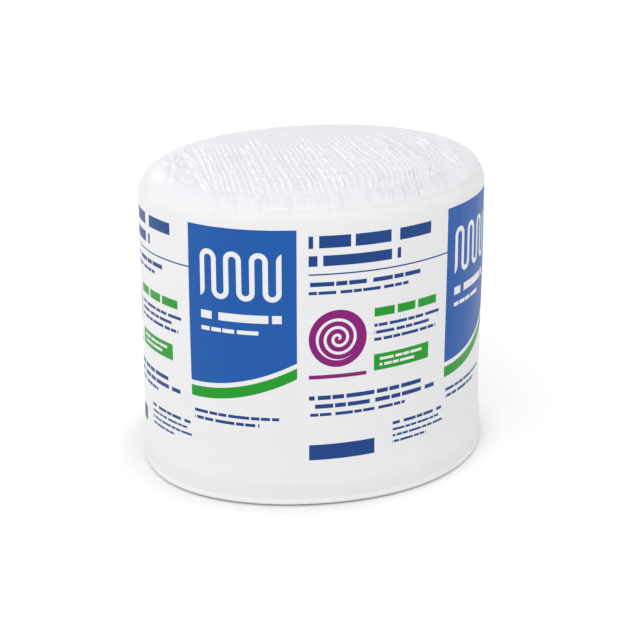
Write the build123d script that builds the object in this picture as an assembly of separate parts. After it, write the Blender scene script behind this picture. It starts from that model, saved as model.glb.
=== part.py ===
"""A kraft-faced fiberglass batt, wound into a roll and wrapped in film, standing on its end.

Millimetres, +Z up. The origin is the middle of the foot, where the wrap meets the floor.
X runs along the long axis of the roll's oval plan, and the film's lap seam is on the +Y side.
"""

from build123d import *
import math
import os

# The batt as it leaves the line. It is wound across its width, so the width is the roll's height.
BATT_WIDTH = 381.0  # 15 in, to fill a stud bay
BATT_LENGTH = 9754.0  # 32 ft

# The wound roll. It is soft, so it stands a little out of round.
ROLL_LONG = 475.4
ROLL_SHORT = 411.8
TOP_SHOULDER = 34.0  # rounding of the outer turns under the tight film
BASE_SHOULDER = 12.0
FOLD_LENGTH = 50.0  # the flat fold at the middle, where the winding starts
EYE_RADIUS = 8.0  # half the thickness of that fold
TURN_LINE_WIDTH = 1.6  # the facing's edge shows as a slot between one turn and the next
TURN_LINE_DEPTH = 2.5
TURN_LINE_MARGIN = 4.0  # from the last turn line to the start of the shoulder
POINTS_PER_TURN = 28
TOP_BEVELS = 5  # short bevels that draw each rounding, on the roll and the film alike
BASE_BEVELS = 3

# The film wrap
FILM_THICKNESS = 1.0
FILM_CLEARANCE = 0.3  # between the film and the roll's side and top
LAP_WIDTH = 45.0  # overlap of the film up the back
TOP_GATHER = 4.0  # height of the pleats over the top
BASE_GATHER = 2.0  # the same pleats, pressed flat under the roll
PLEAT_PITCH = 10.0
PLEAT_ANGLE = 53.0  # of the pleats from X, in plan
PLEAT_MARGIN = 8.0  # from the end of a pleat to the start of the shoulder
PLEAT_RUNOUT = 30.0  # length over which a crease fades out at each end
CREASE_WIDTH = 6.0
TUCK_WIDTH = 38.0  # smooth side panel left on each side of the pleats

# Worked out from the sizes above
TURN_THICKNESS = math.pi * ROLL_LONG * ROLL_SHORT / 4 / BATT_LENGTH
ROLL_FOOT = BASE_GATHER
ROLL_TOP = ROLL_FOOT + BATT_WIDTH
WRAP_TOP = ROLL_TOP + FILM_CLEARANCE + TOP_GATHER
WRAP_GROWTH = 2 * (FILM_CLEARANCE + FILM_THICKNESS)
WRAP_LONG = ROLL_LONG + WRAP_GROWTH
WRAP_SHORT = ROLL_SHORT + WRAP_GROWTH


def oval(long, short):
    """An oval of four tangent arcs, which meet where the outline runs at 45 degrees.

    Ovals whose long and short sizes differ by the same amount are parallel all round.
    """
    slope = math.sqrt(0.5)
    centre_shift = (long - short) / 2 / (2 * slope - 1) * slope
    end_radius = long / 2 - centre_shift
    meet_x = centre_shift + end_radius * slope
    meet_y = end_radius * slope
    quarter_points = [(meet_x, -meet_y), (meet_x, meet_y), (-meet_x, meet_y), (-meet_x, -meet_y)]
    crowns = [(long / 2, 0), (0, short / 2), (-long / 2, 0), (0, -short / 2)]
    arcs = []
    for index, crown in enumerate(crowns):
        arcs.append(ThreePointArc(quarter_points[index], crown, quarter_points[(index + 1) % 4]))
    return make_face(arcs)


def barrel(long, short, foot, top, base_radius, top_radius):
    """An upright oval block with its edges rounded, each in a few short bevels along a quarter circle."""
    levels = []
    for step in range(BASE_BEVELS + 1):
        angle = math.pi / 2 * step / BASE_BEVELS
        levels.append((foot + base_radius * (1 - math.cos(angle)), base_radius * (1 - math.sin(angle))))
    for step in range(TOP_BEVELS + 1):
        angle = math.pi / 2 * step / TOP_BEVELS
        levels.append((top - top_radius * (1 - math.sin(angle)), top_radius * (1 - math.cos(angle))))
    outlines = [Pos(0, 0, z) * oval(long - 2 * inset, short - 2 * inset) for z, inset in levels]
    return loft(outlines, ruled=True)


def turn_line(shoulder):
    """Plan of the slot between the turns: an oval spiral from the fold in the middle to a shoulder."""
    half_fold = FOLD_LENGTH / 2
    reach = min(ROLL_SHORT / 2, ROLL_LONG / 2 - half_fold) - shoulder - TURN_LINE_MARGIN
    steps = int((reach - EYE_RADIUS) / TURN_THICKNESS * POINTS_PER_TURN)

    def side_of_slot(offset):
        points = []
        for step in range(steps + 1):
            turn = step / POINTS_PER_TURN
            half_short = EYE_RADIUS + turn * TURN_THICKNESS + offset
            angle = 2 * math.pi * turn
            points.append(((half_short + half_fold) * math.cos(angle), half_short * math.sin(angle)))
        return points

    inner = side_of_slot(-TURN_LINE_WIDTH / 2)
    outer = side_of_slot(TURN_LINE_WIDTH / 2)
    return make_face(Polyline(*inner, *reversed(outer), close=True))


def insulation_roll():
    """The wound batt, one solid, with its turns showing on both ends."""
    roll = barrel(ROLL_LONG, ROLL_SHORT, ROLL_FOOT, ROLL_TOP, BASE_SHOULDER, TOP_SHOULDER)
    roll -= Pos(0, 0, ROLL_TOP - TURN_LINE_DEPTH) * extrude(turn_line(TOP_SHOULDER), TURN_LINE_DEPTH)
    roll -= Pos(0, 0, ROLL_FOOT) * extrude(turn_line(BASE_SHOULDER), TURN_LINE_DEPTH)
    return roll


def chord(half_long, half_short, offset):
    """Start and end of a pleat line across an oval, measured along the line, or None outside it."""
    angle = math.radians(PLEAT_ANGLE)
    along = (math.cos(angle) / half_long, math.sin(angle) / half_short)
    across = (-math.sin(angle) / half_long * offset, math.cos(angle) / half_short * offset)
    a = along[0] ** 2 + along[1] ** 2
    b = along[0] * across[0] + along[1] * across[1]
    c = across[0] ** 2 + across[1] ** 2 - 1
    inside = b * b - a * c
    if inside <= 0:
        return None
    return (-b - math.sqrt(inside)) / a, (-b + math.sqrt(inside)) / a


def creases(height, depth, shoulder):
    """The creases between the pleats of one gathered end, each fading out before the shoulder.

    They are cut from the plane at this height, downwards if the depth is positive.
    """
    half_long = WRAP_LONG / 2 - shoulder - PLEAT_MARGIN
    half_short = WRAP_SHORT / 2 - shoulder - PLEAT_MARGIN
    angle = math.radians(PLEAT_ANGLE)
    half_across = math.hypot(half_long * math.sin(angle), half_short * math.cos(angle))
    count = 2 * int((half_across - TUCK_WIDTH) / PLEAT_PITCH)
    turned = Rot(0, 0, PLEAT_ANGLE)
    cuts = []
    for index in range(count):
        offset = (index - (count - 1) / 2) * PLEAT_PITCH
        span = chord(half_long, half_short, offset)
        if span is None or span[1] - span[0] <= 2 * PLEAT_RUNOUT:
            continue
        start, end = span

        def section(x):
            corners = [
                (x, offset - CREASE_WIDTH / 2, height),
                (x, offset + CREASE_WIDTH / 2, height),
                (x, offset, height - depth),
            ]
            return make_face(Polyline(*corners, close=True))

        sections = [
            Vertex(start, offset, height),
            section(start + PLEAT_RUNOUT),
            section(end - PLEAT_RUNOUT),
            Vertex(end, offset, height),
        ]
        cuts.append(turned * loft(sections, ruled=True))
    return cuts


def film_wrap():
    """The film: a thin shell round the roll, lapped up the back and pleated over both ends."""
    top_radius = TOP_SHOULDER + FILM_CLEARANCE + FILM_THICKNESS
    base_radius = BASE_SHOULDER + FILM_CLEARANCE + FILM_THICKNESS
    outside = barrel(WRAP_LONG, WRAP_SHORT, 0, WRAP_TOP, base_radius, top_radius)
    lap_foot, lap_top = base_radius, WRAP_TOP - top_radius
    second_layer = oval(WRAP_LONG + 2 * FILM_THICKNESS, WRAP_SHORT + 2 * FILM_THICKNESS)
    back = Pos(0, WRAP_SHORT / 2) * Rectangle(LAP_WIDTH, WRAP_SHORT)
    lap = Pos(0, 0, lap_foot) * extrude(second_layer & back, lap_top - lap_foot)
    inside = barrel(
        ROLL_LONG + 2 * FILM_CLEARANCE,
        ROLL_SHORT + 2 * FILM_CLEARANCE,
        ROLL_FOOT,
        ROLL_TOP + FILM_CLEARANCE,
        BASE_SHOULDER + FILM_CLEARANCE,
        TOP_SHOULDER + FILM_CLEARANCE,
    )
    film = outside + lap - inside
    film -= creases(WRAP_TOP, TOP_GATHER - FILM_THICKNESS, TOP_SHOULDER)
    film -= creases(0, FILM_THICKNESS - BASE_GATHER, BASE_SHOULDER)
    return film


os.makedirs("parts", exist_ok=True)
export_step(insulation_roll(), "parts/insulation_roll.step")
export_step(film_wrap(), "parts/film_wrap.step")
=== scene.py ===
import math

import bpy
import numpy as np
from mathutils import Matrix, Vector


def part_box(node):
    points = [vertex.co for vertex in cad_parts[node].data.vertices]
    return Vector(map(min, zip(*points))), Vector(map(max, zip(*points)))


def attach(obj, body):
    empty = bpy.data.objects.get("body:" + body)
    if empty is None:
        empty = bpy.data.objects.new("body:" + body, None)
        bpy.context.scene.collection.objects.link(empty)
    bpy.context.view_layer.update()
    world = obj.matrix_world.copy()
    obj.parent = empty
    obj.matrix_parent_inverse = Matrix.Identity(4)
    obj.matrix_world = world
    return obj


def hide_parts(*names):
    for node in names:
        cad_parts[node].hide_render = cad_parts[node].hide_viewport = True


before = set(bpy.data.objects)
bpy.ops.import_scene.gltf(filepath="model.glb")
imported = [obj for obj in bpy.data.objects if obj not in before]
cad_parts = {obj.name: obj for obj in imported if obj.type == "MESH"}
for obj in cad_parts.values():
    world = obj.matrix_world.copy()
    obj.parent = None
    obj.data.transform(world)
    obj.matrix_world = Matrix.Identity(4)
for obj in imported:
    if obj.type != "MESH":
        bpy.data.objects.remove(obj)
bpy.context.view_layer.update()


# The wound batt: 32 ft of white glass wool on brown kraft paper, rolled up tight with the paper outside.
# Its ends show the cut wool, with the edge of the paper as a brown line between one turn and the next.
# It stands inside the film and keeps its CAD shape.
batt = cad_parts["insulation_roll"]
batt_low, batt_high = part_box("insulation_roll")
end_plane_slack = 0.0006  # a face this near to the plane of an end is cut wool
end_facing = 0.5  # least upright share in the direction of a face on an end
wool_white = (0.80, 0.77, 0.68, 1)
wool_shade = (0.66, 0.62, 0.52, 1)
kraft_brown = (0.36, 0.235, 0.125, 1)
kraft_dark = (0.27, 0.165, 0.08, 1)
wool_roughness = 0.95
kraft_roughness = 0.62
fibre_scale = 420.0
pulp_scale = 90.0
fibre_relief = 0.002
fibre_strength = 0.6


class Finish:
    """A node material for one kind of surface, with short ways to make and join its nodes."""

    def __init__(self, name):
        self.material = bpy.data.materials.new(name)
        self.material.use_nodes = True
        self.tree = self.material.node_tree
        self.shader = self.tree.nodes["Principled BSDF"]

    def feed(self, value, socket):
        """Set a socket to a plain value, or link it to the output of another node."""
        if isinstance(value, bpy.types.NodeSocket):
            self.tree.links.new(value, socket)
        else:
            socket.default_value = value

    def node(self, kind, **settings):
        """A new node. A setting whose name begins with in_ goes to the input of that name."""
        made = self.tree.nodes.new(kind)
        for key, value in settings.items():
            if key.startswith("in_"):
                self.feed(value, made.inputs[key[3:].replace("_", " ")])
            else:
                setattr(made, key, value)
        return made

    def maths(self, operation, *values):
        made = self.node("ShaderNodeMath", operation=operation)
        for socket, value in zip(made.inputs, values):
            self.feed(value, socket)
        return made.outputs[0]

    def spread(self, value, start, end, low, high, rise="LINEAR"):
        """Low where the value is below start and high where it is above end, with a rise between."""
        made = self.node("ShaderNodeMapRange", interpolation_type=rise, in_Value=value)
        limits = {"From Min": start, "From Max": end, "To Min": low, "To Max": high}
        for name, limit in limits.items():
            made.inputs[name].default_value = limit
        return made.outputs[0]

    def noise(self, place, scale, detail, roughness):
        """Cloudy unevenness from 0 to 1."""
        made = self.node("ShaderNodeTexNoise", in_Scale=scale, in_Detail=detail, in_Roughness=roughness)
        self.feed(place, made.inputs["Vector"])
        return made.outputs[0]

    def blend(self, share, first, second, blend_type="MIX"):
        """A colour between two others, by a share from 0 to 1."""
        mix = self.node("ShaderNodeMix", data_type="RGBA", blend_type=blend_type)
        for socket, value in zip((mix.inputs[0], mix.inputs[6], mix.inputs[7]), (share, first, second)):
            self.feed(value, socket)
        return mix.outputs[2]

    def surface(self, name, value):
        """Set or link one input of the surface's own shader."""
        self.feed(value, self.shader.inputs[name])


def batt_material():
    finish = Finish("wool_and_kraft")
    place = finish.node("ShaderNodeTexCoord").outputs["Object"]
    height = finish.node("ShaderNodeSeparateXYZ", in_Vector=place).outputs["Z"]
    normal = finish.node("ShaderNodeNewGeometry").outputs["True Normal"]
    upright = finish.maths("ABSOLUTE", finish.node("ShaderNodeSeparateXYZ", in_Vector=normal).outputs["Z"])
    middle = (batt_low[2] + batt_high[2]) / 2
    from_middle = finish.maths("ABSOLUTE", finish.maths("SUBTRACT", height, middle))
    on_end = finish.maths("GREATER_THAN", upright, end_facing)
    at_end_plane = finish.maths("GREATER_THAN", from_middle, batt_high[2] - middle - end_plane_slack)
    is_wool = finish.maths("MULTIPLY", on_end, at_end_plane)
    fibres = finish.noise(place, fibre_scale, detail=6.0, roughness=0.7)
    pulp = finish.noise(place, pulp_scale, detail=8.0, roughness=0.75)
    wool = finish.blend(fibres, wool_shade, wool_white)
    kraft = finish.blend(pulp, kraft_dark, kraft_brown)
    finish.surface("Base Color", finish.blend(is_wool, kraft, wool))
    finish.surface("Roughness", finish.spread(is_wool, 0, 1, kraft_roughness, wool_roughness))
    bump = finish.node("ShaderNodeBump", in_Strength=fibre_strength, in_Distance=fibre_relief)
    finish.feed(fibres, bump.inputs["Height"])
    finish.surface("Normal", bump.outputs[0])
    return finish.material


batt.data.materials.clear()
batt.data.materials.append(batt_material())


# The film wrap: one white polyethylene film drawn tight round the roll, lapped and sealed up the back.
# Its ends are drawn in over the roll and gathered into fine pleats that lie side by side, with the slack
# tucked under at the two sides. Under the roll the same pleats are pressed flat.
film_low, film_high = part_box("film_wrap")
film_height = film_high[2]
half_long = film_high[0]
half_short = -film_low[1]
top_rounding = 0.0353  # radius of the top edge
top_dome = 0.0030  # rise of the end's middle above its rim
dome_width = 0.060  # from the rim in to where the end is level
film_slack = 0.0012  # room between the film and the roll
gather_room = 0.0026  # more room over the top of the roll, under the pleats
lap_half_width = 0.0225
lap_step = 0.0009  # how far the lap stands out
seam_facing = math.pi / 2  # the lap is up the middle of the back

random_film = np.random.default_rng(15)
# The plan is four arcs that meet where they face 45 degrees, with their centres this far from the middle.
centre_shift = (half_long - half_short) / (2 * math.sqrt(0.5) - 1) * math.sqrt(0.5)
end_radius = half_long - centre_shift
side_radius = half_short + centre_shift
rim_turn = math.pi / 2 - math.atan(2 * top_dome / dome_width)  # facing of the film at the rim, from level
rim_inset = top_rounding * (1 - math.cos(rim_turn))


def oval(facing, inset):
    """Points of the oval plan by the direction that the film faces there, drawn in by inset."""
    arc = np.round(np.asarray(facing) / (math.pi / 2)).astype(int) % 4
    shift = centre_shift
    centre = np.array([(shift, 0), (0, -shift), (-shift, 0), (0, shift)])[arc]
    radius = np.array([end_radius, side_radius, end_radius, side_radius])[arc] - inset
    outward = np.stack([np.cos(facing), np.sin(facing)], axis=-1)
    return centre + radius[..., None] * outward


def ripples(count, shortest, longest, stretch=1.0):
    """Smooth unevenness over a plane, about 1 either way: a sum of waves at random angles."""
    angles = random_film.uniform(0, math.pi, count)
    rates = 2 * math.pi / random_film.uniform(shortest, longest, count)
    starts = random_film.uniform(0, 2 * math.pi, count)

    def height(x, y):
        total = np.zeros(np.broadcast(x, y).shape)
        for angle, rate, start in zip(angles, rates, starts):
            total += np.sin(rate * (x * np.cos(angle) + y / stretch * np.sin(angle)) + start)
        return total / math.sqrt(count)

    return height


def ease(value, start, end):
    """0 before start and 1 after end, with a smooth rise between."""
    share = np.clip((np.asarray(value) - start) / (end - start), 0, 1)
    return share * share * (3 - 2 * share)


def hump(value, middle, width):
    """1 at the middle, dying away smoothly over the width on both sides."""
    return np.exp(-(((value - middle) / width) ** 2))


# Columns of the film run over the roll from front to back. Each pleat has its own few columns, close
# together at its folded edge, so its crease stays sharp, and the lap has columns at its two edges.
pleat_direction = math.radians(53)  # of the pleats from X, in plan
pleat_pitch = 0.0074
pleat_widths = (0.65, 1.35)  # least and most, before they are fitted to the field
pleat_field = 0.160  # from the middle to the outermost pleat, across the pleats
fold_places = np.array([0.0, 0.15, 0.30, 0.44, 0.56, 0.67, 0.78, 0.90])  # across a pleat
fold_heights = np.array([0.30, 0.38, 0.50, 0.74, 1.0, 0.62, 0.05, 0.10])  # of the film at each
tuck_columns = 40
end_step = 0.05  # radians, from the outermost column to the next
lap_edge_step = 0.003  # radians over which the lap's edge drops
closest_to_lap = 0.0005
rim_samples = 4001

across = np.array([math.sin(pleat_direction), -math.cos(pleat_direction)])
along = np.array([across[1], -across[0]])  # towards the front
facing_right = pleat_direction - math.pi / 2
pleat_count = int(2 * pleat_field / pleat_pitch)
widths = random_film.uniform(*pleat_widths, pleat_count)
pleat_edges = np.concatenate([[0], np.cumsum(widths)]) / widths.sum() * 2 * pleat_field - pleat_field

front_facing = np.linspace(facing_right - math.pi, facing_right, rim_samples)
back_facing = np.linspace(facing_right + math.pi, facing_right, rim_samples)
front_reach = oval(front_facing, rim_inset) @ across
back_reach = oval(back_facing, rim_inset) @ across

far_left = front_facing[0]
far_right = front_facing[-1]
left_end = np.interp(-pleat_field, front_reach, front_facing)
right_end = np.interp(pleat_field, front_reach, front_facing)
left_tuck = np.append(far_left, np.linspace(far_left + end_step, left_end, tuck_columns)[:-1])
right_tuck = np.append(np.linspace(right_end, far_right - end_step, tuck_columns), far_right)
tuck_places = np.interp(np.concatenate([left_tuck, right_tuck]), front_facing, front_reach)
pleat_columns = (pleat_edges[:-1, None] + np.diff(pleat_edges)[:, None] * fold_places).ravel()
lap_facing = lap_half_width / side_radius
lap_outside = lap_facing + lap_edge_step
lap_edges = seam_facing + np.array([-lap_facing, -lap_outside, lap_facing, lap_outside])
lap_columns = oval(lap_edges, rim_inset) @ across
clear_of_lap = np.abs(pleat_columns[:, None] - lap_columns).min(axis=1) > closest_to_lap
columns = np.unique(np.concatenate([tuck_places, pleat_columns[clear_of_lap], lap_columns]))
last_column = len(columns) - 1
front_ring = np.interp(columns, front_reach, front_facing)
back_ring = np.interp(columns, back_reach, back_facing)[last_column - 1 : 0 : -1]
ring_facing = np.concatenate([front_ring, back_ring])
ring_size = len(ring_facing)


# Each pleat is nearly flat, with a narrow ridge and a narrow crease at one side. Its height rises and falls
# along it, and it starts and ends in its own place. Over the front edge the pleats sink and finer upright
# gathers take their place. The pairs are where a change starts and ends, in metres.
pleat_height = 0.0023
pleats_leaning_right = 0.75  # share of them with the crease on the right
pleat_swells = (0.75, 1.20)
usual_swell = 0.85
streak_swell = 0.60  # rise and fall along a pleat
least_swell = 0.10
most_swell = 1.6
streak_shift = 11.0  # sets the streaks of one pleat apart from the next one's
right_swell = 0.50  # how much taller the pleats at the right are
right_pleats = (0.02, 0.09)  # across
near_front_rim = (-0.055, -0.015)  # short of the rim
back_starts = (-0.105, -0.040)
back_rise = (-0.060, 0.025)  # about each pleat's start
behind_start = 0.12  # share of the height that is left behind it
front_ends = (0.024, 0.034)  # past the rim
front_run_out = 0.010
front_sink = 0.65  # share of the height lost over the front edge
over_front_rim = (-0.030, 0.010)
over_back_rim = (-0.025, 0.004)
gather_height = 0.0017
gathers_in_pleat = 2
gather_offset = 0.25  # of the first gather from the pleat's edge, as a share of a gather
gather_rise = (-0.010, 0.004)
crinkle_height = 0.00022

pleat_lean = np.where(random_film.random(pleat_count) < pleats_leaning_right, 1, -1)
pleat_swell = random_film.uniform(*pleat_swells, pleat_count)
back_start = random_film.uniform(*back_starts, pleat_count)
front_end = random_film.uniform(*front_ends, pleat_count)
streaks = ripples(9, 0.022, 0.075)
crinkle = ripples(10, 0.009, 0.022)
bend = ripples(5, 0.120, 0.260)
tuck_swell = ripples(7, 0.014, 0.040)
meander = ripples(6, 0.030, 0.080)


def fold_profile(share, lean):
    """Height across a pleat: nearly flat, then a narrow ridge and a narrow crease, at either side."""
    share = np.mod(np.where(lean > 0, share, 1 - share), 1)
    return np.interp(share, np.append(fold_places, 1), np.append(fold_heights, fold_heights[0])) - 0.5


def gather_profile(share):
    """Height across the gathers of a pleat: even ridges."""
    return 0.5 - 2 * np.abs(np.mod(gathers_in_pleat * share + gather_offset, 1) - 0.5)


def pleat_relief(place, run, beyond_rim):
    """Height of the pleats, of the gathers over the front edge, and of fine crinkles."""
    number = np.clip(np.searchsorted(pleat_edges, place, side="right") - 1, 0, pleat_count - 1)
    width = np.diff(pleat_edges)[number]
    share = (place - pleat_edges[number]) / width
    streak = streaks(streak_shift * pleat_swell[number], run)
    swell = pleat_swell[number] * np.clip(usual_swell + streak_swell * streak, least_swell, most_swell)
    away_from_rim = 1 - ease(beyond_rim, *near_front_rim)
    swell = swell * (1 + right_swell * ease(place, *right_pleats) * away_from_rim)
    start = back_start[number]
    fade_back = ease(run, start + back_rise[0], start + back_rise[1])
    fade_back = behind_start + (1 - behind_start) * fade_back
    over_front = 1 - ease(beyond_rim, front_end[number] - front_run_out, front_end[number])
    over_back = 1 - ease(beyond_rim, *over_back_rim)
    sunk_front = over_front * (1 - front_sink * ease(beyond_rim, *over_front_rim))
    fade_rim = np.where(run > 0, sunk_front, over_back)
    height = pleat_height * fold_profile(share, pleat_lean[number]) * swell * fade_back * fade_rim
    gathered = (run > 0) * ease(beyond_rim, *gather_rise) * over_front
    tallest = gather_height * width / pleat_pitch
    height += tallest * gather_profile(share) * gathered * np.minimum(swell, 1)
    points = place[..., None] * across + run[..., None] * along
    height += crinkle_height * crinkle(points[..., 0], points[..., 1]) * fade_rim
    return height


# The slack is tucked under at the left and right of the pleats. A long fold bounds the pleats on each side,
# and beyond it the film dips, ripples and creases.
tuck_depth = 0.0036
right_depth_share = 0.4  # the right tuck is shallower
tuck_reach = (0.020, 0.012)  # out from the fold, left and right
tuck_ripple = (0.0005, 0.0007)  # left and right
fold_half_width = (0.003, 0.010)  # left and right
left_fold_place = -0.166
left_fold_lean = 0.060
left_fold_middle = -0.060  # along the fold, where it is at its place
right_fold_place = 0.166
right_fold_lean = -0.115
right_fold_middle = -0.061
left_ridge_height = 0.0019  # of the doubled edge beside the left fold
left_ridge_place = -0.0035
left_ridge_width = 0.0026
tuck_end = (0.010, 0.045)  # past the rim, where a tuck runs out
tuck_end_behind = 0.045  # how much sooner it runs out at the back
behind_middle = (-0.100, -0.020)
crease_middles = (-0.055, 0.085)  # along the pleats
crease_turns = (-0.16, 0.16)  # radians from the pleats
crease_splay = 0.10  # radians that they turn outwards towards the front
crease_half_lengths = (0.020, 0.038)
crease_strengths = (0.4, 1.0)
crease_gentle_side = 0.0060
crease_steep_side = 0.0024
crease_groove = 0.40  # its depth, as a share of the crease's height
crease_groove_place = -0.0044
crease_groove_width = 0.0024
crease_run_out = (0.4, 1.4)  # in half lengths


def tuck_creases(side, count, nearest, farthest, strongest):
    """Long creases in the tuck at one side: middle, direction, half length and height of each."""
    creases = []
    for place in np.linspace(nearest, farthest, count):
        middle = across * side * place + along * random_film.uniform(*crease_middles)
        turn = random_film.uniform(*crease_turns) + crease_splay * side
        direction = along * math.cos(turn) + across * math.sin(turn)
        half_length = random_film.uniform(*crease_half_lengths)
        creases.append((middle, direction, half_length, random_film.uniform(*crease_strengths) * strongest))
    return creases


left_creases = tuck_creases(side=-1, count=5, nearest=0.170, farthest=0.186, strongest=0.0024)
right_creases = tuck_creases(side=1, count=8, nearest=0.104, farthest=0.176, strongest=0.0050)


def crease_height(points):
    """Sum of the tucks' long creases in plan: sharp ridges, steep on one side, dying out at both ends."""
    total = np.zeros(points.shape[:-1])
    for middle, direction, half_length, height in left_creases + right_creases:
        offset = points - middle
        run = offset @ direction
        out = offset @ np.array([-direction[1], direction[0]])
        ridge = np.maximum(1 - np.where(out > 0, out / crease_gentle_side, -out / crease_steep_side), 0)
        groove = crease_groove * hump(out, crease_groove_place, crease_groove_width)
        fade = ease(np.abs(run), crease_run_out[0] * half_length, crease_run_out[1] * half_length)
        total += height * (ridge - groove) * (1 - fade)
    return total


def beyond_folds(place, run):
    """How far a point lies outside the pleats, past the long fold at their left or right side."""
    left_fold = left_fold_place + left_fold_lean * (run - left_fold_middle)
    right_fold = right_fold_place + right_fold_lean * (run - right_fold_middle)
    return np.maximum(left_fold - place, place - right_fold)


def end_relief(place, run, beyond_rim):
    """Height of the gathered film above the end's own smooth shape.

    place is across the pleats, run along them towards the front, and beyond_rim is how far the film
    has gone over the rounded edge, or how far short of it the point lies if negative.
    """
    at_left = place < 0
    points = place[..., None] * across + run[..., None] * along
    beside = beyond_folds(place, run)
    in_field = 1 - ease(beside / np.where(at_left, *fold_half_width), -1, 1)
    height = pleat_relief(place, run, beyond_rim) * in_field
    sooner = tuck_end_behind * (1 - ease(run, *behind_middle))
    inside = 1 - ease(beyond_rim, tuck_end[0] - sooner, tuck_end[1] - sooner)
    tucked = (1 - in_field) * inside
    height += tucked * np.where(at_left, *tuck_ripple) * tuck_swell(points[..., 0], points[..., 1])
    deepest = np.where(at_left, tuck_depth, right_depth_share * tuck_depth)
    height -= tucked * deepest * np.exp(-np.maximum(beside, 0) / np.where(at_left, *tuck_reach))
    height += inside * at_left * left_ridge_height * hump(beside, left_ridge_place, left_ridge_width)
    height += inside * crease_height(points)
    return height


# The side goes straight down from the rounded top edge. Above the foot it bulges a little and draws in, and
# it turns under the roll in a soft lip. At the front the foot spreads a little under the roll's weight.
shoulder_rows = 22
side_rows = 14
# From the side down to the floor: height and inset, in millimetres here.
foot_profile = np.array(
    [
        (62, 0), (50, -0.35), (40, -1), (34, -1.45), (31, -1.5), (28, -1.2), (24, -0.7), (19, 0),
        (14.5, 0.75), (12, 1.2), (10.3, 1.5), (9.2, 1.45), (8.2, 1.1), (7.2, 0.5), (6.2, -0.1),
        (5.2, -0.6), (4.2, -0.8), (3.2, -0.5), (2.3, 0.7), (1.4, 4), (0.6, 13), (0, 31),
    ]
) / 1000
right_front_spread = 0.0075  # at the side that faces -Y
left_front_spread = 0.0045  # at the side that faces -X
right_spread_power = 5  # the higher, the narrower
left_spread_power = 8
spread_heights = (0.004, 0.070)  # full below the first, none above the second

shoulder_turn = np.linspace(rim_turn, 0, shoulder_rows)
rim_z = film_height - top_dome / 2
shoulder_z = rim_z - top_rounding * (math.sin(rim_turn) - np.sin(shoulder_turn))
shoulder = np.stack([top_rounding * (1 - np.cos(shoulder_turn)), shoulder_z], 1)
foot_z, foot_inset = foot_profile.T
side_z = np.linspace(shoulder_z[-1], foot_z[0], side_rows)[1:-1]
rows = np.concatenate([shoulder, np.stack([0 * side_z, side_z], 1), np.stack([foot_inset, foot_z], 1)])
row_inset = rows[:, 0][:, None]
row_height = rows[:, 1][:, None]
arc_down = np.concatenate([[0], np.cumsum(np.linalg.norm(np.diff(rows, axis=0), axis=1))])[:, None]

flat_ring = oval(ring_facing, 0.0)
around = np.concatenate([[0], np.cumsum(np.linalg.norm(np.diff(flat_ring, axis=0), axis=1))])
girth = around[-1] + np.linalg.norm(flat_ring[0] - flat_ring[-1])
facing_out = np.stack([np.cos(ring_facing), np.sin(ring_facing)], -1)
wall_plan = np.stack([oval(ring_facing, inset) for inset in rows[:, 0]])
grid = wall_plan.shape[:2]
foot_spread = np.maximum(-np.sin(ring_facing), 0) ** right_spread_power * right_front_spread
foot_spread = foot_spread + np.maximum(-np.cos(ring_facing), 0) ** left_spread_power * left_front_spread
foot_spread = foot_spread * (1 - ease(row_height, *spread_heights))
wall_plan = wall_plan + foot_spread[..., None] * facing_out
wall = np.concatenate([wall_plan, np.broadcast_to(row_height[..., None], grid + (1,))], axis=-1)
row_slope = np.gradient(rows, axis=0)
row_slope /= np.linalg.norm(row_slope, axis=1)[:, None]
outward_plan = facing_out[None] * -row_slope[:, 1][:, None, None]
outward_up = np.broadcast_to(-row_slope[:, 0][:, None, None], grid + (1,))
outward = np.concatenate([outward_plan, outward_up], axis=-1)
outward[0] = (0, 0, 1)  # the rim only moves up and down

# The side sags and puckers slightly, steps out at the lap, and has a crease under the gathers of the front
# edge, with two places where the film is pinched. No dent goes as deep as the roll inside.
sag_height = 0.0007
pucker_height = 0.0004
pucker_reach = (0.050, 0.030)  # from the top and from the floor
foot_pucker = 0.8  # as a share of that at the top
side_margin = 0.03  # at the top and at the floor, where the sags fade out
lap_ramp = 0.018  # radians over which the film rises to the lap
rim_crease_place = 0.032  # down over the front edge from the rim
rim_crease_waver = 0.0012
rim_crease_depth = 0.0018
rim_crease_width = 0.0024
rim_crease_start = (-0.16, -0.06)  # across, from the left
pinch_places = ((-0.125, 0.036), (-0.014, 0.031))  # across, and down over the front edge
pinch_depth = 0.0030
pinch_width = 0.0022
pinch_length = 0.0045
lip_height = 0.0105  # up to here the film is free of the roll
free_room = 1  # more than any dent there

upper = row_height > film_height / 2
all_across = wall_plan @ across
all_down = np.broadcast_to(arc_down, grid)
wall_run = wall_plan @ along
at_front = wall_run > 0
side_sag = ripples(6, 0.11, 0.24, stretch=1.6)
side_pucker = ripples(8, 0.018, 0.050, stretch=5.0)
rim_waver = ripples(4, 0.060, 0.170)
below_top = 1 - ease(row_height, film_height - side_margin, film_height)
on_wall = ease(row_height, 0.0, side_margin) * below_top
near_top = np.exp(-(film_height - row_height) / pucker_reach[0])
near_rims = near_top + foot_pucker * np.exp(-row_height / pucker_reach[1])
sags = sag_height * side_sag(around, row_height)
puckers = near_rims * pucker_height * side_pucker(around, row_height)
from_seam = np.mod(ring_facing - seam_facing + math.pi, 2 * math.pi) - math.pi
lap_rise = ease(from_seam, -lap_facing - lap_ramp, -lap_facing)
in_lap = (1 - ease(from_seam, lap_facing, lap_outside)) * lap_rise
lift = on_wall * (sags + puckers) + on_wall * lap_step * in_lap
rim_line = rim_crease_place + rim_crease_waver * rim_waver(around, 0 * around)
rim_crease = rim_crease_depth * hump(all_down, rim_line, rim_crease_width)
rim_crease = rim_crease * at_front * ease(all_across, *rim_crease_start)
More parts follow.
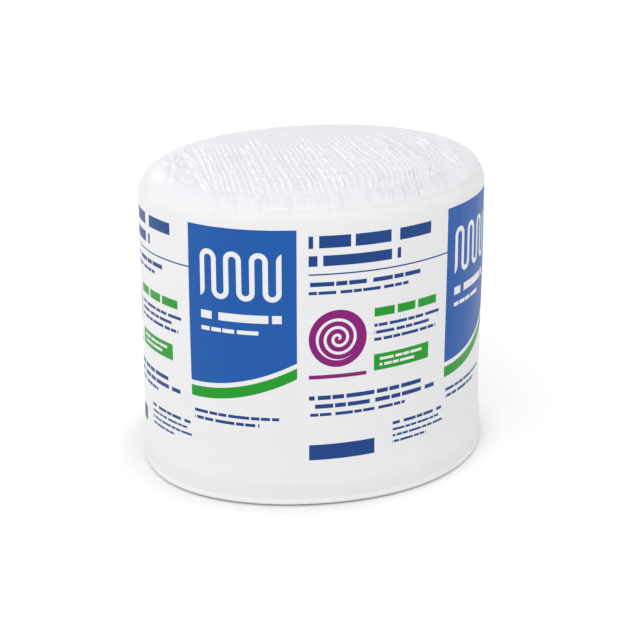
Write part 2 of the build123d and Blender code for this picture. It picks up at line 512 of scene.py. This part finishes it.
pinches = sum(
    pinch_depth * hump(all_across, place, pinch_width) * hump(all_down, down, pinch_length) * at_front
    for place, down in pinch_places
)
lift = lift + upper * (end_relief(all_across, wall_run, all_down) - rim_crease - pinches)
upper_room = film_slack + (gather_room - top_dome / 2) * outward[..., 2]
side_room = np.where(row_height > lip_height, np.maximum(film_slack - row_inset, 0), free_room)
lift = np.maximum(lift, -np.where(upper, upper_room, side_room))
wall = wall + outward * lift[..., None]

# The two ends. The pleats don't run quite straight: they bend, waver and lean, and those at the right
# fan out. Under the roll the relief is pressed nearly flat.
top_rows = 84
foot_rows = 18
pressed_share = 0.35
bend_sway = 0.0009
bend_across = 0.5  # less than 1, so pleats side by side bend alike
bend_rim = (0.0, 0.06)  # in from the rim
lean_sway = 0.0025
lean_front_rim = (0.0, 0.055)
lean_back_rim = (0.0, 0.080)
meander_sway = 0.0005
meander_across = 0.4
meander_rim = (0.0, 0.04)
pleat_fan = 0.0065  # how far the pleats at the right lean out of line
fan_start = (-0.03, 0.07)  # across
fan_end = (0.11, 0.165)
short_pleats = (0.06, 0.18)  # of these lengths the pleats run straighter


def end_panel(rim, row_count):
    """Points of one gathered end between the front and back halves of its rim, and their relief."""
    front = rim[1:last_column]
    back = rim[ring_size - 1 : last_column : -1]
    share = np.linspace(0, 1, row_count + 1)[1:-1][None, :]
    run_back = (back[:, :2] @ along)[:, None]
    run_front = (front[:, :2] @ along)[:, None]
    run = run_back + (run_front - run_back) * share
    place = np.broadcast_to(columns[1:last_column][:, None], run.shape)
    from_rim = np.minimum(run - run_back, run_front - run)
    sway = bend_sway * bend(place * bend_across, run) * ease(from_rim, *bend_rim)
    sway = sway + lean_sway * ease(run_front - run, *lean_front_rim) * ease(run - run_back, *lean_back_rim)
    sway = sway + meander_sway * meander(place * meander_across, run) * ease(from_rim, *meander_rim)
    fanned = ease(place, *fan_start) * (1 - ease(place, *fan_end))
    sway = sway - pleat_fan * fanned * np.sin(2 * math.pi * share)
    sway = sway * ease(run_front - run_back, *short_pleats)
    points = (place + sway)[..., None] * across + run[..., None] * along
    return points, end_relief(place, run, -from_rim)


def inside_edge(points):
    """Distance of points in plan from the oval's outer edge."""
    x = np.abs(points[..., 0])
    y = np.abs(points[..., 1])
    from_end = end_radius - np.hypot(x - centre_shift, y)
    from_side = side_radius - np.hypot(x, y + centre_shift)
    return np.where(y < x - centre_shift, from_end, from_side)


top_plan, top_relief = end_panel(wall[0], top_rows)
level_share = np.clip((inside_edge(top_plan) - rim_inset) / dome_width, 0, 1)
top_rise = top_dome * (1 - (1 - level_share) ** 2)
top_room = film_slack + gather_room - top_dome / 2 + top_rise
top_z = rim_z + top_rise + np.maximum(top_relief, -top_room)
top_panel = np.concatenate([top_plan, top_z[..., None]], axis=-1)
foot_plan, foot_relief = end_panel(wall[-1], foot_rows)
foot_panel_z = pressed_share * np.maximum(-foot_relief, 0)
foot_panel = np.concatenate([foot_plan, foot_panel_z[..., None]], axis=-1)
end_offset = 2.0  # on the flat sheet of the print, the ends lie this far clear of the side


def film_faces(top_start, foot_start):
    """Faces of the side, then of the two ends, whose columns join the front and back halves of a rim."""
    wall_rows = len(rows)
    faces = []
    for row in range(wall_rows - 1):
        here = row * ring_size
        below = here + ring_size
        for place in range(ring_size):
            after = (place + 1) % ring_size
            faces.append((here + place, below + place, below + after, here + after))
    for start, panel, rim, upwards in (
        (top_start, top_panel, 0, True),
        (foot_start, foot_panel, (wall_rows - 1) * ring_size, False),
    ):
        inner_rows = panel.shape[1]
        strips = []
        for column in range(1, last_column):
            inner = [start + (column - 1) * inner_rows + k for k in range(inner_rows)]
            strips.append([rim + ring_size - column, *inner, rim + column])
        for left, right in zip(strips, strips[1:]):
            for k in range(len(left) - 1):
                quad = (left[k], left[k + 1], right[k + 1], right[k])
                faces.append(quad if upwards else quad[::-1])
        for k in range(inner_rows + 1):
            left_corner = (rim, strips[0][k], strips[0][k + 1])
            right_corner = (rim + last_column, strips[-1][k + 1], strips[-1][k])
            faces.append(left_corner[::-1] if upwards else left_corner)
            faces.append(right_corner[::-1] if upwards else right_corner)
    return faces


def film_mesh():
    points = np.concatenate([wall.reshape(-1, 3), top_panel.reshape(-1, 3), foot_panel.reshape(-1, 3)])
    top_start = len(rows) * ring_size
    foot_start = top_start + top_panel.shape[0] * top_panel.shape[1]
    faces = film_faces(top_start, foot_start)
    mesh = bpy.data.meshes.new("film")
    mesh.from_pydata(points.tolist(), [], faces)
    mesh.polygons.foreach_set("use_smooth", np.ones(len(faces), bool))
    from_lap = np.mod(around - np.interp(seam_facing, ring_facing, around), girth)
    up_sheet = shoulder_z[-1] + top_rounding * rim_turn - arc_down[:, 0]
    sheet = np.empty((len(points), 2))
    sheet[:top_start, 0] = np.tile(from_lap, len(rows))
    sheet[:top_start, 1] = np.repeat(up_sheet, ring_size)
    sheet[top_start:, 0] = points[top_start:, :2] @ across
    sheet[top_start:, 1] = points[top_start:, :2] @ along + end_offset
    sheet[foot_start:, 1] -= 2 * end_offset
    corner_points = np.array([corner for face in faces for corner in face])
    face_sizes = np.array([len(face) for face in faces])
    corner_map = sheet[corner_points]
    # A face that spans the two edges of the flat sheet keeps all its corners at one of them.
    first_corner = np.repeat(corner_map[np.cumsum(face_sizes) - face_sizes, 0], face_sizes)
    corner_map[:, 0] += girth * np.round((first_corner - corner_map[:, 0]) / girth)
    mesh.uv_layers.new(name="film_sheet").data.foreach_set("uv", corner_map.ravel())
    mesh.update()
    return mesh


film = bpy.data.objects.new("film", film_mesh())
bpy.context.collection.objects.link(film)
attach(film, "root")
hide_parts("film_wrap")


# The film's print: flexographic inks on white film, the same design four times round the roll.
# Each repeat has a blue panel with a looped line, a purple coil, green bars and rows of plain navy bars.
# The film is satin on the side and glossier on its gathered end, with fine creping along the pleats. Its
# end is tinted greyer and bluer: painted shade.
film_white = (0.84, 0.84, 0.85, 1)
# Painted shade: the gathered end and its shoulder are a touch greyer and bluer than the side, for the shade
# in the gathers.
film_end_shade_tint = (0.835, 0.835, 0.872, 1)
ink_blue = (0.0, 0.090, 0.385, 1)
ink_purple = (0.235, 0.0, 0.170, 1)
ink_green = (0.004, 0.310, 0.012, 1)
ink_navy = (0.0, 0.045, 0.225, 1)
repeats_round = 4
repeat_length = girth / repeats_round
print_start = 0.0185  # from the middle of the lap to the first repeat
# The painted shade tint of the end fades in over this span below the rim.
end_fade_mm = (46, 2)  # below the rim, where the tint of the end starts and is full
haze_scale = 26.0
haze_tones = (0.965, 1.025)
side_roughness = 0.36
haze_roughness = 0.14
end_roughness_change = -0.16
creping_scale = (60, 420, 90)  # along the pleats, across them and up
creping_relief = 0.0006
creping_strengths = (0.08, 0.32)  # on the side and on the end
film_ior = 1.5
film_specular = 0.30
band_rise = 34.0  # millimetres
bar_length = 4.6  # mean length of a bar in a row, in bar heights
bar_gap = 0.13  # share of that length
bar_swing = 0.30  # how much the lengths differ, as a share
bar_swing_run = 0.47  # over which they change, in mean lengths


def film_material():
    finish = Finish("printed_film")
    maths = finish.maths
    sheet_place = finish.node("ShaderNodeUVMap", uv_map="film_sheet").outputs[0]
    sheet = finish.node("ShaderNodeSeparateXYZ", in_Vector=sheet_place)
    from_start = maths("SUBTRACT", sheet.outputs[0], print_start)
    x = maths("MULTIPLY", maths("FLOORED_MODULO", from_start, repeat_length), 1000)
    z = maths("MULTIPLY", sheet.outputs[1], 1000)

    def bar(left, right, low, high):
        """A plain printed rectangle, in millimetres from the repeat's left edge and from the floor."""
        beside = maths("COMPARE", x, (left + right) / 2, (right - left) / 2)
        level = maths("COMPARE", z, (low + high) / 2, (high - low) / 2)
        return maths("MULTIPLY", beside, level)

    def broken_bar(left, right, low, high, start):
        """A row of bars of uneven lengths, with small gaps between them."""
        length = bar_length * (high - low)
        swing = maths("SINE", maths("ADD", maths("DIVIDE", x, bar_swing_run * length), start))
        count = maths("ADD", maths("DIVIDE", x, length), maths("MULTIPLY", swing, bar_swing))
        drawn = maths("GREATER_THAN", maths("FRACT", count), bar_gap)
        return maths("MULTIPLY", bar(left, right, low, high), drawn)

    def together(masks):
        total = masks[0]
        for mask in masks[1:]:
            total = maths("MAXIMUM", total, mask)
        return total

    def without(mask, hole):
        return maths("MULTIPLY", mask, maths("SUBTRACT", 1.0, hole))

    def distance(dx, dz):
        return maths("SQRT", maths("ADD", maths("MULTIPLY", dx, dx), maths("MULTIPLY", dz, dz)))

    def looped_line(left, loops, level, reach, step, width):
        """A line looping up and down, as drawings show insulation in a wall."""
        fold = maths("PINGPONG", maths("SUBTRACT", x, left + step / 2), step)
        above = maths("SUBTRACT", z, level + reach)
        below = maths("SUBTRACT", level - reach, z)
        upright = maths("COMPARE", fold, step / 2, width / 2)
        upright = maths("MULTIPLY", upright, maths("COMPARE", z, level, reach))
        arc_over = maths("COMPARE", distance(fold, above), step / 2, width / 2)
        arc_over = maths("MULTIPLY", arc_over, maths("GREATER_THAN", above, 0.0))
        arc_under = maths("COMPARE", distance(maths("SUBTRACT", step, fold), below), step / 2, width / 2)
        arc_under = maths("MULTIPLY", arc_under, maths("GREATER_THAN", below, 0.0))
        line = together([upright, arc_over, arc_under])
        half_length = loops * step / 2 + width / 2
        return maths("MULTIPLY", line, maths("COMPARE", x, left + loops * step / 2, half_length))

    def coil(centre_x, centre_z, radius, inner, pitch, width):
        """A disc with a coil left white in it, like the end of a roll."""
        dx = maths("SUBTRACT", x, centre_x)
        dz = maths("SUBTRACT", z, centre_z)
        away = distance(dx, dz)
        turn = maths("DIVIDE", maths("ARCTAN2", dz, dx), 2 * math.pi)
        along_coil = maths("SUBTRACT", maths("DIVIDE", away, pitch), turn)
        line = maths("LESS_THAN", maths("FLOORED_MODULO", along_coil, 1.0), width / pitch)
        line = maths("MULTIPLY", line, maths("LESS_THAN", away, inner))
        return without(maths("LESS_THAN", away, radius), line)

    def curved_band(left, right, low, high):
        """A band between two edges that rise together from left to right in a soft curve."""
        share = maths("DIVIDE", maths("SUBTRACT", x, left), right - left)
        rise = maths("MULTIPLY", maths("MULTIPLY", share, share), band_rise)
        level = maths("SUBTRACT", z, rise)
        beside = maths("COMPARE", x, (left + right) / 2, (right - left) / 2)
        return maths("MULTIPLY", beside, maths("COMPARE", level, (low + high) / 2, (high - low) / 2))

    panel_foot = maths("MULTIPLY", curved_band(0, 138, 152, 300), bar(0, 138, 100, 220))
    panel = together([bar(0, 138, 196, 351), panel_foot])
    panel_white = together(
        [
            looped_line(left=21, loops=6, level=293, reach=19, step=16, width=6.4),
            broken_bar(18, 120, 236, 246, 0.4),
            broken_bar(18, 92, 221, 226, 2.2),
        ]
    )
    blue = without(panel, panel_white)
    disc = coil(centre_x=188, centre_z=215, radius=36, inner=27.5, pitch=9.6, width=3.6)
    purple = together([disc, bar(152, 224, 165, 170)])
    tag_white = together([broken_bar(242, 306, 180.5, 184, 1.0), broken_bar(242, 294, 173, 176.5, 3.1)])
    tag = without(bar(234, 318, 168, 189), tag_white)
    green = together([curved_band(0, 138, 132, 146), tag, broken_bar(234, 330, 237, 248, 0.9)])
    navy = together(
        [
            broken_bar(152, 318, 328, 343, 0.2),
            broken_bar(152, 270, 306, 319, 1.7),
            bar(152, repeat_length * 1000, 295, 296.8),
            broken_bar(152, 306, 281, 286.5, 2.6),
            broken_bar(152, 282, 271, 275, 0.8),
            broken_bar(234, 336, 224, 228, 4.0),
            broken_bar(234, 320, 215, 219, 5.2),
            broken_bar(234, 330, 206, 210, 1.1),
            broken_bar(152, 306, 138, 143.5, 3.6),
            broken_bar(152, 330, 127, 132.5, 2.9),
            broken_bar(152, 280, 117, 121, 0.3),
            broken_bar(4, 116, 112, 116, 1.9),
            broken_bar(4, 92, 103, 107, 4.4),
            bar(152, 236, 60, 80),
            broken_bar(262, 346, 92, 96, 2.4),
            broken_bar(262, 340, 84, 87, 5.8),
            broken_bar(262, 348, 76, 79, 1.3),
            broken_bar(262, 316, 68, 71, 3.3),
        ]
    )

    rim_mark = 1000 * (shoulder_z[-1] + top_rounding * rim_turn)
    fade_start = rim_mark - end_fade_mm[0]
    fade_end = rim_mark - end_fade_mm[1]
    on_end = finish.spread(z, fade_start, fade_end, 0, 1, rise="SMOOTHSTEP")
    place = finish.node("ShaderNodeTexCoord").outputs["Object"]
    haze = finish.noise(place, haze_scale, detail=3.0, roughness=0.6)
    # The end and its shoulder take the painted shade tint, faded in by height.
    colour = finish.blend(on_end, film_white, film_end_shade_tint)
    for mask, ink in ((blue, ink_blue), (purple, ink_purple), (green, ink_green), (navy, ink_navy)):
        colour = finish.blend(mask, colour, ink)
    tone = finish.spread(haze, 0, 1, *haze_tones)
    finish.surface("Base Color", finish.blend(1.0, colour, tone, blend_type="MULTIPLY"))
    roughness = maths("MULTIPLY_ADD", haze, haze_roughness, side_roughness)
    finish.surface("Roughness", maths("MULTIPLY_ADD", on_end, end_roughness_change, roughness))
    finish.surface("IOR", film_ior)
    finish.surface("Specular IOR Level", film_specular)
    grain = finish.node("ShaderNodeMapping", vector_type="POINT", in_Vector=place, in_Scale=creping_scale)
    grain.inputs["Rotation"].default_value = (0, 0, -pleat_direction)
    creping = finish.noise(grain.outputs[0], scale=1.0, detail=4.0, roughness=0.55)
    strength = finish.spread(on_end, 0, 1, *creping_strengths)
    bump = finish.node("ShaderNodeBump", in_Strength=strength, in_Distance=creping_relief)
    finish.feed(creping, bump.inputs["Height"])
    finish.surface("Normal", bump.outputs[0])
    return finish.material


film.data.materials.append(film_material())


# The studio: a wide pale floor under an even white sky, with soft lamps at the left, in front and behind.
# The floor glows a little to the camera and in reflections, from the foot outwards, so that it reads white
# beyond the roll's shadow.
floor_reach = 14.0
floor_drop = -0.0004
floor_white = (0.92, 0.92, 0.92, 1)
floor_roughness = 0.9
glow_shift = (0.010, -0.0105)  # the floor brightens sooner at the right of the picture
near_glow = 0.17
near_glow_range = (1.0, 1.24)  # in roll sizes: 1 is the outline of the foot
far_glow = 0.12
far_glow_range = (1.8, 9.5)
sky_strength = 0.80


def studio_floor():
    mesh = bpy.data.meshes.new("studio_floor")
    corners = [
        (-floor_reach, -floor_reach, floor_drop),
        (floor_reach, -floor_reach, floor_drop),
        (floor_reach, floor_reach, floor_drop),
        (-floor_reach, floor_reach, floor_drop),
    ]
    mesh.from_pydata(corners, [], [(0, 1, 2, 3)])
    floor = bpy.data.objects.new("studio_floor", mesh)
    bpy.context.collection.objects.link(floor)
    finish = Finish("studio_floor")
    finish.surface("Base Color", floor_white)
    finish.surface("Roughness", floor_roughness)
    finish.surface("Emission Color", (1, 1, 1, 1))
    ray = finish.node("ShaderNodeLightPath")
    seen = finish.maths("MAXIMUM", ray.outputs["Is Camera Ray"], ray.outputs["Is Glossy Ray"])
    place = finish.node("ShaderNodeTexCoord").outputs["Object"]
    in_roll_sizes = finish.node("ShaderNodeMapping", vector_type="POINT", in_Vector=place)
    in_roll_sizes.inputs["Scale"].default_value = (1 / half_long, 1 / half_short, 0)
    shift_x, shift_y = glow_shift
    in_roll_sizes.inputs["Location"].default_value = (shift_x / half_long, shift_y / half_short, 0)
    length = finish.node("ShaderNodeVectorMath", operation="LENGTH")
    finish.feed(in_roll_sizes.outputs[0], length.inputs[0])
    from_roll = length.outputs["Value"]
    near = finish.spread(from_roll, *near_glow_range, 0, near_glow, rise="SMOOTHSTEP")
    far = finish.spread(from_roll, *far_glow_range, 0, far_glow, rise="SMOOTHSTEP")
    finish.surface("Emission Strength", finish.maths("MULTIPLY", seen, finish.maths("ADD", near, far)))
    mesh.materials.append(finish.material)


studio_floor()
scene = bpy.context.scene
scene.view_settings.view_transform = "Standard"
world = bpy.data.worlds.new("studio_sky")
world.use_nodes = True
world.node_tree.nodes["Background"].inputs["Color"].default_value = (1, 1, 1, 1)
world.node_tree.nodes["Background"].inputs["Strength"].default_value = sky_strength
scene.world = world

# The photograph was taken from a little over two metres, at about the height of a table.
# The lamps stand round the roll by their turn from the camera, and look at its middle.
camera_turn = math.radians(-46.6)  # round the roll, from looking along +Y
camera_distance = 2.096
camera_height = 0.883
camera_tilt = math.radians(18.92)
camera_swing = math.radians(0.20)
lens_mm = 94.2
sensor_mm = 36.0


def softbox(name, turn, distance, height, width, tall, watts):
    """A broad soft lamp aimed at the roll, placed by its turn round the roll from the camera."""
    data = bpy.data.lights.new(name, "AREA")
    data.shape = "RECTANGLE"
    data.size = width
    data.size_y = tall
    data.energy = watts
    lamp = bpy.data.objects.new(name, data)
    heading = camera_turn + math.radians(turn)
    lamp.location = (distance * math.sin(heading), -distance * math.cos(heading), height)
    tilt = math.atan2(height - film_height / 2, distance)
    lamp.rotation_euler = (math.pi / 2 - tilt, 0, heading)
    bpy.context.collection.objects.link(lamp)


softbox("left_softbox", turn=-100, distance=2.0, height=1.00, width=1.6, tall=1.2, watts=5.0)
softbox("front_softbox", turn=-6, distance=1.6, height=2.3, width=2.0, tall=1.6, watts=18.0)
softbox("back_softbox", turn=-156, distance=2.4, height=1.27, width=0.95, tall=0.62, watts=2.2)

camera_data = bpy.data.cameras.new("camera")
camera_data.lens = lens_mm
camera_data.sensor_width = sensor_mm
camera = bpy.data.objects.new("camera", camera_data)
camera.location = (
    camera_distance * math.sin(camera_turn),
    -camera_distance * math.cos(camera_turn),
    camera_height,
)
camera.rotation_euler = (math.pi / 2 - camera_tilt, 0, camera_turn - camera_swing)
bpy.context.collection.objects.link(camera)
scene.camera = camera
